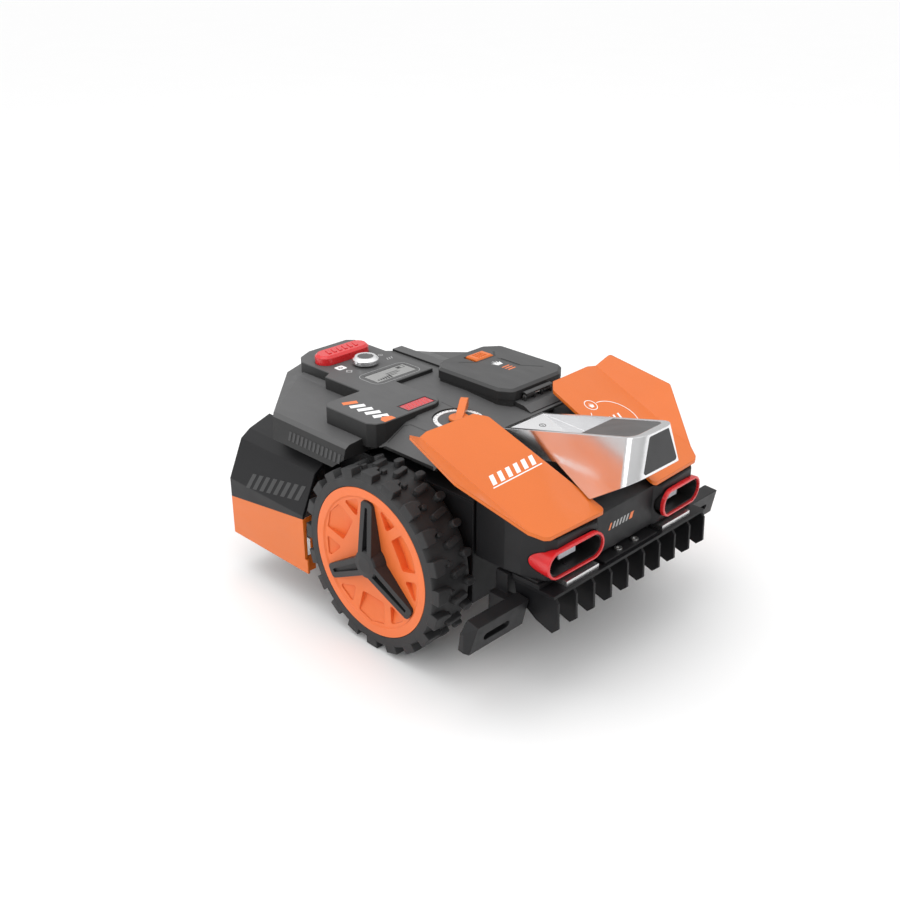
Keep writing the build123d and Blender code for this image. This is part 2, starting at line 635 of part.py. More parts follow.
def top_cover():
    plinth = prism_z(plinth_outline(-1.5), 245, PLINTH_Z, radius=6)
    wedge = prism_x([(LID_Y[0] + 8, 264), (LID_Y[0] - 14, 262), (LID_Y[0] - 26, 256), (LID_Y[0] - 26, 250),
                     (LID_Y[0] + 8, 250)], LID_X[0] + 16, LID_X[1] - 34)
    rib = block((42, 60), (88, 205), (250, DECK_Z + 3))
    dial_seat = post(*DIAL_AT, DIAL_Z - 6, DIAL_Z, DIAL_R + 3)
    ears = []
    for x in (34, 52, 66, 84):
        ear = prism_x([(HINGE_Y - 3, 258), (HINGE_Y - 3, HINGE_Z), (HINGE_Y, HINGE_Z + 3),
                       (HINGE_Y + 3, HINGE_Z), (HINGE_Y + 3, 258)], x - 1.5, x + 1.5)
        ears.append(ear)
    shell = cover_solid(0) + plinth + wedge + rib + dial_seat
    shell -= cover_solid(COVER_WALL)
    shell += ears
    shell -= block((BAY_X[0] - 1, BAY_X[1] + 1), (BAY_Y[0] - 1, BAY_Y[1] + 1), (225, 300))
    shell -= post(*DIAL_AT, DIAL_Z, DECK_Z + 5, DIAL_R + 1.5)
    shell -= post(*DIAL_AT, 245, 262, 6 + FIT)
    shell -= bar_x(HINGE_Y, HINGE_Z, 30, 88, HINGE_PIN_R)
    shell -= arch_cut(WHEEL_ARCH_GAP)
    stop_x, stop_y = STOP_AT
    shell -= post(stop_x, stop_y, 245, 270, 7 + GAP)
    shell -= post(*KNOB_AT, 245, 270, 4 + FIT)
    return shell


def console():
    plate = prism_z(CONSOLE_PLAN, 236, CONSOLE_Z, radius=3)
    plate = chamfer(plate.faces().sort_by(Axis.Z)[-1].outer_wire().edges(), 1.0)
    plate -= cover_solid(0)
    plate -= Pos(*STOP_AT, CONSOLE_Z - 2 - STOP_TRAVEL) * extrude(SlotOverall(STOP_L + 2 * GAP, STOP_W + 2 * GAP), 10)
    stop_x, stop_y = STOP_AT
    plate -= post(stop_x, stop_y, 245, 270, 7 + GAP)
    plate -= post(*KNOB_AT, 245, 270, 4 + FIT)
    plate -= arch_cut(CONSOLE_ARCH_GAP)
    plate -= block(LCD_X, LCD_Y, (CONSOLE_Z - 1.5, CONSOLE_Z + 1))
    plate -= block(WINDOW_X, WINDOW_Y, (CONSOLE_Z - 1.5, CONSOLE_Z + 1))
    return plate


def lcd_display():
    return block(LCD_X, LCD_Y, (CONSOLE_Z - 1.5, CONSOLE_Z - 0.3))


def indicator_window():
    return block(WINDOW_X, WINDOW_Y, (CONSOLE_Z - 1.5, CONSOLE_Z - 0.3))


def dial_ring():
    x, y = DIAL_AT
    return post(x, y, DIAL_Z, DIAL_Z + 0.8, DIAL_R) - post(x, y, DIAL_Z - 1, DIAL_Z + 1, DIAL_R - 5.5)


def height_lever():
    """Turns on the dial; its handle rises towards the scale."""
    hub = Cylinder(13, 3, align=(Align.CENTER, Align.CENTER, Align.MIN))
    stem = Pos(0, 0, -10) * Cylinder(6, 10.5, align=(Align.CENTER, Align.CENTER, Align.MIN))
    side = [(-12, 0), (-12, 3), (4, 5), (DIAL_R - 3, 15), (DIAL_R + 3, 15), (DIAL_R + 3, 3), (8, 0)]
    handle = prism_y(side, -5, 5)
    handle = Pos(0, 0, 0.01) * handle
    x, y = DIAL_AT
    return Pos(x, y, DIAL_Z + GAP + 0.8) * Rot(0, 0, 33) * (hub + stem + handle)


# ---------------------------------------------------------------- wings and snout
def plane_height(a, b, c):
    """Height above the ground of the plane through three points, as a function of x and y."""
    a, b, c = Vector(*a), Vector(*b), Vector(*c)
    normal = (b - a).cross(c - a)

    def height(x, y):
        return a.Z - (normal.X * (x - a.X) + normal.Y * (y - a.Y)) / normal.Z
    return height


def lifted(points, height):
    """A thin plate over plan points, its top on the given plane."""
    top = [(x, y, height(x, y)) for x, y in points]
    face = Face(Wire.make_polygon([Vector(*p) for p in top], close=True))
    return extrude(face, amount=WING_T, dir=(0, 0, -1))


def wing_panel():
    """Right-hand wing: a main facet and a raised outer facet along one fold."""
    main = plane_height(WING_REAR_INNER, WING_FRONT_INNER, WING_FRONT_OUTER)
    fold_rear = (WING_FOLD_X, -62.0)
    fold_front = (156.0, -250.0)
    fold_point = (WING_FOLD_X, -63.5, main(WING_FOLD_X, -63.5))
    fold_end = (fold_front[0], fold_front[1], main(*fold_front))
    flap = plane_height(fold_point, fold_end, WING_MID_OUTER)
    inside = [(30, -40), fold_rear, fold_front, (30, -270)]
    outside = [fold_rear, (230, -40), (230, -270), fold_front]
    sheet = lifted(inside, main) + lifted(outside, flap)
    plan = [WING_REAR_OUTER[:2], WING_MID_OUTER[:2], (147.0, -243.5), (140.0, -247.0), WING_FRONT_INNER[:2],
            (48.5, -236.0), WING_REAR_INNER[:2], (74.0, -66.0), (150.0, -62.0)]
    panel = sheet & prism_z(plan, 150, 330, radius=6)
    return mirrored(panel) - arch_cut(WHEEL_ARCH_GAP)


def snout_top_z(y):
    rise = (SNOUT_TOP_FRONT_Z - SNOUT_TOP_REAR_Z) / (SNOUT_REAR_Y - SNOUT_TOP_FRONT_Y)
    return SNOUT_TOP_REAR_Z + rise * (SNOUT_REAR_Y - y)


def snout_front_y(z):
    """The leaning front face."""
    lean = (SNOUT_TOP_FRONT_Y - FRONT_Y) / (SNOUT_TOP_FRONT_Z - SNOUT_CHIN_Z)
    return FRONT_Y + lean * (z - SNOUT_CHIN_Z)


def behind_front(near, far):
    """A slab that leans with the snout's front face, from near to far behind it."""
    low, high = 150.0, 350.0
    return prism_x([(snout_front_y(low) + near, low), (snout_front_y(high) + near, high),
                    (snout_front_y(high) + far, high), (snout_front_y(low) + far, low)], -150, 150)


def snout_station(y, inset):
    """Section of the snout at y: flat top, sides that flare downwards."""
    top_z = snout_top_z(y) - inset
    wide = SNOUT_TOP_HALF_W - inset
    lean = (SNOUT_CHIN_HALF_W - SNOUT_TOP_HALF_W) / (SNOUT_TOP_FRONT_Z - SNOUT_CHIN_Z)
    low_z = 200.0
    low = wide + lean * (top_z - low_z)
    frame = Plane(origin=(0, y, 0), x_dir=(1, 0, 0), z_dir=(0, -1, 0))
    return frame * outline([(-wide, top_z), (-low, low_z), (low, low_z), (wide, top_z)])


def snout_body(inset, corner_r):
    body = loft([snout_station(FRONT_Y - 15, inset), snout_station(SNOUT_REAR_Y, inset)])
    body -= behind_front(-60, inset)
    corners = [e for e in body.edges()
               if e.bounding_box().max.Y < SNOUT_TOP_FRONT_Y + 5 and e.bounding_box().size.Z > 50]
    return fillet(corners, corner_r)


def under_snout(lift):
    """Everything below the chin, the belly and the wings, raised by a wall's thickness."""
    belly_z = hood_z(SNOUT_BELLY_Y) + BELLY_GAP + lift
    slope = (SNOUT_CHIN_Z + lift - belly_z) / (FRONT_Y - SNOUT_BELLY_Y)
    chin = [(FRONT_Y - 15, 150), (FRONT_Y - 15, SNOUT_CHIN_Z + lift - slope * 15), (SNOUT_BELLY_Y, belly_z),
            (-60, hood_z(-60) + BELLY_GAP + lift), (-60, 150)]
    below = prism_x(chin, -160, 160)
    wing_z = plane_height(WING_REAR_INNER, WING_FRONT_INNER, WING_FRONT_OUTER)
    gap = 2.0 + lift
    beside = [(-300, 150), (-300, wing_z(46, -300) + gap), (-60, wing_z(46, -60) + gap), (-60, 150)]
    flank = prism_x(beside, 44.5 - lift, 160)
    return below + flank + mirrored(flank)


def camera_window_outline():
    return [(-18, 302), (-32, 260), (32, 260), (18, 302)]


def camera_window_slab(near, far):
    slab = prism_y(camera_window_outline(), FRONT_Y - 10, SNOUT_TOP_FRONT_Y + 10, radius=3)
    return slab & behind_front(near, far)


def snout_shell():
    """Bright shell with a rising top, flared sides and a chin that sweeps back."""
    shell = snout_body(0, SNOUT_CORNER_R) - under_snout(0)
    hollow = snout_body(SNOUT_WALL, SNOUT_CORNER_R - SNOUT_WALL)
    hollow &= block((-150, 150), (FRONT_Y, SNOUT_PLATE_Y[1] - 4), (190, 330))
    shell -= hollow - under_snout(SNOUT_WALL)
    half = SNOUT_TOP_HALF_W - 4.5
    rear, front = SNOUT_PLATE_Y[1], SNOUT_REAR_Y - 7.5
    pocket = [(rear, 330), (rear, snout_top_z(rear) - 30), (rear + 34, snout_top_z(rear) - 30),
              (front, snout_top_z(front)), (front, 330)]
    shell -= prism_x(pocket, -half, half)
    shell -= plate_prism(SNOUT_PLATE_Y, half, 2.5, 20)
    shell -= camera_window_slab(-5, 1.5)
    shell -= Pos(0, FRONT_Y, CAMERA_Z) * Rot(90, 0, 0) * Cylinder(CAMERA_R + GAP, 30)
    return shell


def camera_window():
    return camera_window_slab(0.2, 1.5)


def camera_module():
    """Forward camera behind the window, on a foot that stands on the shell's chin."""
    barrel = Pos(0, FRONT_Y + 13, CAMERA_Z) * Rot(90, 0, 0) * Cylinder(CAMERA_R, 14)
    case = block((-16, 16), (FRONT_Y + 20, FRONT_Y + 34), (CAMERA_Z - 12, CAMERA_Z + 12))
    foot = block((-10, 10), (FRONT_Y + 24, FRONT_Y + 30), (CAMERA_Z - 45, CAMERA_Z - 12))
    return barrel + case + (foot - under_snout(SNOUT_WALL))


def plate_prism(span, half, low, high):
    """A slab that follows the snout's top, from low under it to high above it."""
    y0, y1 = span
    slab = prism_x([(y0, snout_top_z(y0) - low), (y0, snout_top_z(y0) + high), (y1, snout_top_z(y1) + high),
                    (y1, snout_top_z(y1) - low)], -half, half)
    middle = (y0 + y1 + PLATE_CORNER_R) / 2
    plan = RectangleRounded(2 * half, y1 - y0 + PLATE_CORNER_R, PLATE_CORNER_R - 0.1)
    return slab & extrude(Pos(0, middle, 150) * plan, 200)


def snout_plate():
    half = SNOUT_TOP_HALF_W - 4.5
    plate = plate_prism(SNOUT_PLATE_Y, half, 2.5, -0.4)
    return plate


# ---------------------------------------------------------------- battery lid
def battery_lid():
    lid = prism_z(plinth_outline(0), PLINTH_Z + GAP, LID_TOP_Z, radius=9)
    lid = chamfer(lid.faces().sort_by(Axis.Z)[-1].outer_wire().edges(), 3.5)
    room = prism_z(plinth_outline(-LID_WALL - 3), PLINTH_Z, LID_TOP_Z - LID_WALL - 1.5, radius=4)
    latch_x, latch_y = LATCH_AT
    pocket = block((latch_x - LATCH_L / 2 - LATCH_TRAVEL - GAP, latch_x + LATCH_L / 2 + GAP),
                   (latch_y - LATCH_W / 2 - GAP, latch_y + LATCH_W / 2 + GAP), (PLINTH_Z, LID_TOP_Z + 5))
    lid = lid - room - pocket
    for low, high in ((36.5, 49.5), (68.5, 81.5)):
        arm = block((low, high), (HINGE_Y, LID_Y[0] + 6), (HINGE_Z - 1.8, HINGE_Z + 1.8))
        lid += arm + bar_x(HINGE_Y, HINGE_Z, low, high, 3.2)
        lid -= bar_x(HINGE_Y, HINGE_Z, low - 1, high + 1, HINGE_PIN_R + FIT)
    groove = [block((90, 91.4), (0, 40), (LID_TOP_Z - 0.8, LID_TOP_Z + 1))]
    return lid - groove


def lid_hinge_pin():
    return bar_x(HINGE_Y, HINGE_Z, 32.5, 85.5, HINGE_PIN_R)


def lid_latch():
    x, y = LATCH_AT
    tab = Pos(x, y, 0) * block((-LATCH_L / 2, LATCH_L / 2), (-LATCH_W / 2, LATCH_W / 2),
                               (PLINTH_Z + 3, LID_TOP_Z + 2))
    tab = chamfer(tab.faces().sort_by(Axis.Z)[-1].edges(), 2)
    return tab


# ---------------------------------------------------------------- buttons
def stop_button():
    bottom = CONSOLE_Z - 1
    cap = Pos(*STOP_AT, bottom) * extrude(SlotOverall(STOP_L, STOP_W), STOP_H + 1)
    cap = chamfer(cap.faces().sort_by(Axis.Z)[-1].edges(), 3.5)
    x, y = STOP_AT
    return cap + post(x, y, CONSOLE_Z - 14, bottom, 7)


def knob_stem():
    return post(*KNOB_AT, CONSOLE_Z - 16, CONSOLE_Z + 9, 4)


def control_knob():
    x, y = KNOB_AT
    ring = post(x, y, CONSOLE_Z + KNOB_TRAVEL + 0.8, CONSOLE_Z + 12, KNOB_R)
    ring = chamfer(ring.faces().sort_by(Axis.Z)[-1].edges(), 3.5)
    ring -= post(x, y, CONSOLE_Z + 10, CONSOLE_Z + 13, 11)
    return ring - post(x, y, CONSOLE_Z, CONSOLE_Z + 9, 4 + FIT)


def knob_cap():
    x, y = KNOB_AT
    return post(x, y, CONSOLE_Z + 10, CONSOLE_Z + 11.4, 11)


# ---------------------------------------------------------------- cutter
def guide_posts():
    x, y = CUT_AT
    rods = [post(x + dx, y, FLOOR_Z + TUB_WALL, TUB_TOP_Z, POST_R) for dx in (-POST_SPREAD, POST_SPREAD)]
    return Part() + rods


def cutter_carriage():
    x, y = CUT_AT
    can = post(x, y, 56, 150, MOTOR_R)
    low = FLOOR_Z + 25 + LIFT
    wing = block((x - POST_SPREAD - 11, x + POST_SPREAD + 11), (y - 11, y + 11), (low, low + 26))
    skirt = post(x, y, 56, 60, DISC_R - 6)
    body = can + wing + skirt
    for dx in (-POST_SPREAD, POST_SPREAD):
        body -= post(x + dx, y, 100, 160, POST_R + FIT)
    body -= post(x, y, 50, 86, 6 + FIT)
    return body


def spindle():
    x, y = CUT_AT
    return post(x, y, DISC_Z + DISC_T, 84, 6) + post(x, y, DISC_Z + DISC_T, 54, 14)


def blade_disc():
    x, y = CUT_AT
    disc = post(x, y, DISC_Z, DISC_Z + DISC_T, DISC_R)
    holes = [Rot(0, 0, n * 60) * Pos(34, 0, 0) * Cylinder(9, 40) for n in range(6)]
    return disc - [Pos(x, y, DISC_Z) * hole for hole in holes]


def around_disc(part, n):
    x, y = CUT_AT
    return Pos(x, y, DISC_Z) * Rot(0, 0, 20 + n * 360 / BLADE_COUNT) * part


def blade(n):
    plate = block((-8, BLADE_L - 8), (-BLADE_W / 2, BLADE_W / 2), (-1 - BLADE_T, -1))
    plate = chamfer(plate.edges().filter_by(Axis.Z), 3)
    plate -= Cylinder(3 + FIT, 20)
    return around_disc(Pos(BLADE_PIVOT_R, 0, 0) * plate, n)


def blade_bolts():
    bolt = Pos(0, 0, -3 - 1.6) * (Cylinder(6, 1.6, align=(Align.CENTER, Align.CENTER, Align.MIN))
                                  + Cylinder(3, 4.6, align=(Align.CENTER, Align.CENTER, Align.MIN)))
    return Part() + [around_disc(Pos(BLADE_PIVOT_R, 0, 0) * bolt, n) for n in range(BLADE_COUNT)]


# ---------------------------------------------------------------- caster
def caster_bush():
    x, y = CASTER_AT
    sleeve = post(x, y, FLOOR_Z, FLOOR_Z + 30, CASTER_STEM_R + 7)
    flange = post(x, y, FLOOR_Z - 3, FLOOR_Z, CASTER_STEM_R + 12)
    return sleeve + flange - post(x, y, FLOOR_Z - 5, FLOOR_Z + 40, CASTER_STEM_R + FIT)


def caster_fork():
    x, y = CASTER_AT
    stem = post(x, y, 70, FLOOR_Z + 26, CASTER_STEM_R)
    half = CASTER_W / 2 + 1
    plate_z = 2 * CASTER_R + 4
    crown = block((-half - 3, half + 3), (-14, CASTER_TRAIL + 10), (plate_z, FLOOR_Z - 4))
    cheek = prism_x([(-14, plate_z + 1), (CASTER_TRAIL + 10, plate_z + 1), (CASTER_TRAIL + 8, CASTER_R - 8),
                     (CASTER_TRAIL - 8, CASTER_R - 8)], half, half + 3)
    fork = crown + cheek + mirrored(cheek)
    hole = bar_x(CASTER_TRAIL, CASTER_R, -40, 40, 4)
    return stem + Pos(x, y, 0) * (fork - hole)


def caster_part(part):
    return Pos(CASTER_AT[0], CASTER_AT[1], 0) * part


def caster_axle():
    return caster_part(bar_x(CASTER_TRAIL, CASTER_R, -CASTER_W / 2 - 6, CASTER_W / 2 + 6, 4))


def caster_hub():
    hub = bar_x(CASTER_TRAIL, CASTER_R, -CASTER_W / 2, CASTER_W / 2, CASTER_R - 7)
    return caster_part(hub - bar_x(CASTER_TRAIL, CASTER_R, -40, 40, 4 + FIT))


def caster_tyre():
    band = bar_x(CASTER_TRAIL, CASTER_R, -CASTER_W / 2, CASTER_W / 2, CASTER_R)
    band = fillet(band.edges().filter_by(GeomType.CIRCLE), 3)
    return caster_part(band - bar_x(CASTER_TRAIL, CASTER_R, -40, 40, CASTER_R - 7))


# ---------------------------------------------------------------- all nodes
def pair(name, right):
    return {name + "_right": right, name + "_left": mirrored(right)}


NODES = {
    **pair("tyre", at_axle(tyre())),
    **pair("wheel_rim", at_axle(wheel_rim())),
    **pair("hub_star", at_axle(hub_star())),
    **pair("wheel_axle", at_axle(wheel_axle())),
    "drive_gearmotors": with_mirror(drive_gearmotor()),
    **pair("headlamp_bezel", headlamp_bezel()),
    "headlamp_shrouds": with_mirror(headlamp_shroud()),
    "headlamp_lenses": with_mirror(headlamp_lens()),
    **pair("bumper_arm", bumper_arm()),
    **pair("wing_panel", wing_panel()),
    "chassis_tub": chassis_tub(),
    "deck_plate": deck_plate(),
    "battery_bay": battery_bay(),
    "battery_pack": battery_pack(),
    "main_pcb": main_pcb(),
    "cover_mounts": cover_mounts(),
    "body_screws": body_screws(),
    "front_fascia": front_fascia(),
    "grass_comb": grass_comb(),
    "comb_clamp_plate": comb_clamp_plate(),
    "charging_contacts": charging_contacts(),
    "edge_guard_shell": edge_guard_shell(),
    "edge_guard_skirt": edge_guard_skirt(),
    "top_cover": top_cover(),
    "console": console(),
    "lcd_display": lcd_display(),
    "indicator_window": indicator_window(),
    "dial_ring": dial_ring(),
    "height_lever": height_lever(),
    "snout_shell": snout_shell(),
    "snout_plate": snout_plate(),
    "camera_window": camera_window(),
    "camera_module": camera_module(),
    "battery_lid": battery_lid(),
    "lid_hinge_pin": lid_hinge_pin(),
    "lid_latch": lid_latch(),
    "stop_button": stop_button(),
    "knob_stem": knob_stem(),
    "control_knob": control_knob(),
    "knob_cap": knob_cap(),
    "cutter_guide_posts": guide_posts(),
    "cutter_carriage": cutter_carriage(),
    "cutter_spindle": spindle(),
    "blade_disc": blade_disc(),
    **{f"blade_{n + 1}": blade(n) for n in range(BLADE_COUNT)},
    "blade_bolts": blade_bolts(),
    "caster_bush": caster_bush(),
    "caster_fork": caster_fork(),
    "caster_axle": caster_axle(),
    "caster_hub": caster_hub(),
    "caster_tyre": caster_tyre(),
}

os.makedirs("parts", exist_ok=True)
for name, part in NODES.items():
    export_step(part, f"parts/{name}.step")
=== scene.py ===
"""Robotic lawn mower: looks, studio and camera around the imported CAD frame.

Lengths are written in millimetres of the frame and turned into metres where a mesh is made.
-Y is the machine's front, -X its right side, Z = 0 the ground.
"""
import json
import math

import bmesh
import bpy
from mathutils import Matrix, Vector
from mathutils.bvhtree import BVHTree


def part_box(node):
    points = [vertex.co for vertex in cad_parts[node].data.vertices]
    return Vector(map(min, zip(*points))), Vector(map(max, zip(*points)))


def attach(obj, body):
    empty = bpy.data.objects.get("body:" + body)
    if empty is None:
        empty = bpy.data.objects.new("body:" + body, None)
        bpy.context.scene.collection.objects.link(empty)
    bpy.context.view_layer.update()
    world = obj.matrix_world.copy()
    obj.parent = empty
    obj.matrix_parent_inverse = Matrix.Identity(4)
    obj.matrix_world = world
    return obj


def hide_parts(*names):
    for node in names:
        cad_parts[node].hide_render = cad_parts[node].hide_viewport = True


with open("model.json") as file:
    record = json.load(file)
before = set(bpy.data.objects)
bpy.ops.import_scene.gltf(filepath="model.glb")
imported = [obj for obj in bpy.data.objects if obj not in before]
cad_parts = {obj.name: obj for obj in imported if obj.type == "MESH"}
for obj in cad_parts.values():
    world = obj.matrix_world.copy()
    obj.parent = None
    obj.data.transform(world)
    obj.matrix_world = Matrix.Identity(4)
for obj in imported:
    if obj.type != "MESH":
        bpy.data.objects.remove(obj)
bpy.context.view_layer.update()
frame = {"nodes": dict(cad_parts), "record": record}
nodes = frame["nodes"]
MM = 0.001

# ---------------------------------------------------------------- camera
CAMERA_AT = (-1.00205, -0.94649, 0.83030)
CAMERA_AZIMUTH = math.radians(-45.231)
CAMERA_ELEVATION = math.radians(25.041)
CAMERA_LENS = 46.02
SENSOR = 36.0


def make_camera():
    data = bpy.data.cameras.new("camera")
    data.lens = CAMERA_LENS
    data.sensor_width = SENSOR
    data.clip_end = 60.0
    camera = bpy.data.objects.new("camera", data)
    bpy.context.scene.collection.objects.link(camera)
    back = Vector((math.sin(CAMERA_AZIMUTH) * math.cos(CAMERA_ELEVATION),
                   -math.cos(CAMERA_AZIMUTH) * math.cos(CAMERA_ELEVATION), math.sin(CAMERA_ELEVATION)))
    camera.location = CAMERA_AT
    camera.rotation_euler = back.to_track_quat("Z", "Y").to_euler()
    bpy.context.scene.camera = camera


# ---------------------------------------------------------------- materials
class Shader:
    """A node tree with a Principled shader, built up by small steps."""

    def __init__(self, name):
        self.material = bpy.data.materials.new(name)
        self.material.use_nodes = True
        self.tree = self.material.node_tree
        self.shader = self.tree.nodes["Principled BSDF"]
        self.place = self.node("ShaderNodeTexCoord").outputs["Object"]

    def node(self, kind, **settings):
        made = self.tree.nodes.new(kind)
        for key, value in settings.items():
            setattr(made, key, value)
        return made

    def link(self, source, target):
        self.tree.links.new(source, target)

    def noise(self, scale, detail=3.0, stretch=None):
        made = self.node("ShaderNodeTexNoise")
        made.inputs["Scale"].default_value = scale
        made.inputs["Detail"].default_value = detail
        place = self.place
        if stretch:
            mapping = self.node("ShaderNodeMapping")
            mapping.inputs["Scale"].default_value = stretch
            self.link(self.place, mapping.inputs["Vector"])
            place = mapping.outputs["Vector"]
        self.link(place, made.inputs["Vector"])
        return made.outputs["Fac"]

    def spread(self, value, low, high, start=0.3, stop=0.7):
        made = self.node("ShaderNodeMapRange")
        made.inputs["From Min"].default_value = start
        made.inputs["From Max"].default_value = stop
        made.inputs["To Min"].default_value = low
        made.inputs["To Max"].default_value = high
        self.link(value, made.inputs["Value"])
        return made.outputs["Result"]

    def blend(self, factor, one, two):
        made = self.node("ShaderNodeMix", data_type="RGBA")
        self.link(factor, made.inputs["Factor"])
        for socket, value in ((6, one), (7, two)):
            if isinstance(value, bpy.types.NodeSocket):
                self.link(value, made.inputs[socket])
            else:
                made.inputs[socket].default_value = (*value, 1.0)
        return made.outputs[2]

    def bump(self, heights, edge=0.0):
        """Fine relief from (height, distance in mm) pairs, over edges that are rounded by edge mm."""
        normal = None
        if edge:
            bevel = self.node("ShaderNodeBevel", samples=4)
            bevel.inputs["Radius"].default_value = edge * MM
            normal = bevel.outputs["Normal"]
        for height, distance in heights:
            made = self.node("ShaderNodeBump")
            made.inputs["Distance"].default_value = distance * MM
            self.link(height, made.inputs["Height"])
            if normal:
                self.link(normal, made.inputs["Normal"])
            normal = made.outputs["Normal"]
        self.link(normal, self.shader.inputs["Normal"])

    def set(self, **values):
        for key, value in values.items():
            self.shader.inputs[key.replace("_", " ")].default_value = value


def tinted(colour, factor):
    return tuple(min(1.0, c * factor) for c in colour)


def moulded(name, colour, rough, texture=0.05, grain=1500.0, vary=0.10, edge=0.8, specular=0.5, coat=0.0,
            side=1.0):
    """Moulded plastic: fine spark-eroded grain, slow shade drift, faint handling marks, rounded edges.
    Below 1, side is the share of the colour that faces looking sideways keep: painted shade that makes the
    sides darker than the tops."""
    s = Shader(name)
    fine = s.noise(grain, 2.0)
    slow = s.noise(9.0, 4.0)
    marks = s.noise(60.0, 5.0, stretch=(1.0, 0.35, 1.0))
    base = s.blend(s.spread(slow, 0.0, 1.0), tinted(colour, 1.0 - vary), tinted(colour, 1.0 + vary))
    base = s.blend(s.spread(fine, 0.0, 0.16, 0.45, 0.75), base, tinted(colour, 1.5))
    # Painted shade: by the normal's Z, faces that look sideways get side times the colour and faces that
    # look up keep it.
    if side < 1.0:
        painted_side_shade = s.node("ShaderNodeSeparateXYZ")
        s.link(s.node("ShaderNodeNewGeometry").outputs["Normal"], painted_side_shade.inputs["Vector"])
        base = s.blend(s.spread(painted_side_shade.outputs["Z"], 0.0, 1.0, 0.25, 0.9), tinted(colour, side), base)
    s.link(base, s.shader.inputs["Base Color"])
    s.link(s.spread(marks, rough - 0.05, rough + 0.07), s.shader.inputs["Roughness"])
    s.set(Specular_IOR_Level=specular, Coat_Weight=coat, Coat_Roughness=0.12)
    s.bump([(fine, texture)], edge)
    return s.material


def metal(name, colour, rough, brush=(1.0, 60.0, 60.0), depth=0.012, edge=0.5):
    """Bright metal with faint brushing and smudges."""
    s = Shader(name)
    lines = s.noise(40.0, 3.0, stretch=brush)
    smudge = s.noise(22.0, 4.0)
    base = s.blend(s.spread(smudge, 0.0, 1.0), tinted(colour, 0.97), tinted(colour, 1.03))
    s.link(base, s.shader.inputs["Base Color"])
    s.link(s.spread(lines, rough * 0.85, rough * 1.2), s.shader.inputs["Roughness"])
    s.set(Metallic=1.0)
    s.bump([(lines, depth)], edge)
    return s.material


def rubber(name, colour):
    """Tyre rubber: matt, with a mould skin and a little dust on it."""
    s = Shader(name)
    skin = s.noise(700.0, 3.0)
    dust = s.noise(35.0, 5.0)
    base = s.blend(s.spread(dust, 0.0, 0.5, 0.5, 0.75), tinted(colour, 0.9), tinted(colour, 2.0))
    s.link(base, s.shader.inputs["Base Color"])
    s.link(s.spread(dust, 0.48, 0.66), s.shader.inputs["Roughness"])
    s.set(Specular_IOR_Level=0.45)
    s.bump([(dust, 0.10), (skin, 0.05)], 0.6)
    return s.material


def clear(name, colour):
    """Lamp lens: clear plastic with fine vertical flutes."""
    s = Shader(name)
    waves = s.node("ShaderNodeTexWave", bands_direction="X")
    waves.inputs["Scale"].default_value = 120.0
    s.link(s.place, waves.inputs["Vector"])
    fluting = waves.outputs["Fac"]
    s.link(s.blend(fluting, tinted(colour, 0.85), colour), s.shader.inputs["Base Color"])
    s.link(s.spread(fluting, 0.12, 0.2), s.shader.inputs["Roughness"])
    s.set(Specular_IOR_Level=0.6)
    s.bump([(fluting, 0.2)], 0.4)
    return s.material


def circuit(name):
    """Green board with faint tracks."""
    s = Shader(name)
    cells = s.node("ShaderNodeTexVoronoi", feature="DISTANCE_TO_EDGE")
    cells.inputs["Scale"].default_value = 160.0
    s.link(s.place, cells.inputs["Vector"])
    tracks = s.spread(cells.outputs["Distance"], 1.0, 0.0, 0.02, 0.06)
    s.link(s.blend(tracks, (0.02, 0.14, 0.05), (0.06, 0.30, 0.10)), s.shader.inputs["Base Color"])
    s.link(s.spread(tracks, 0.45, 0.3), s.shader.inputs["Roughness"])
    s.bump([(tracks, 0.05)], 0.3)
    return s.material


GREY = (0.090, 0.090, 0.091)
BLACK = (0.011, 0.011, 0.012)
ORANGE = (0.70, 0.150, 0.016)

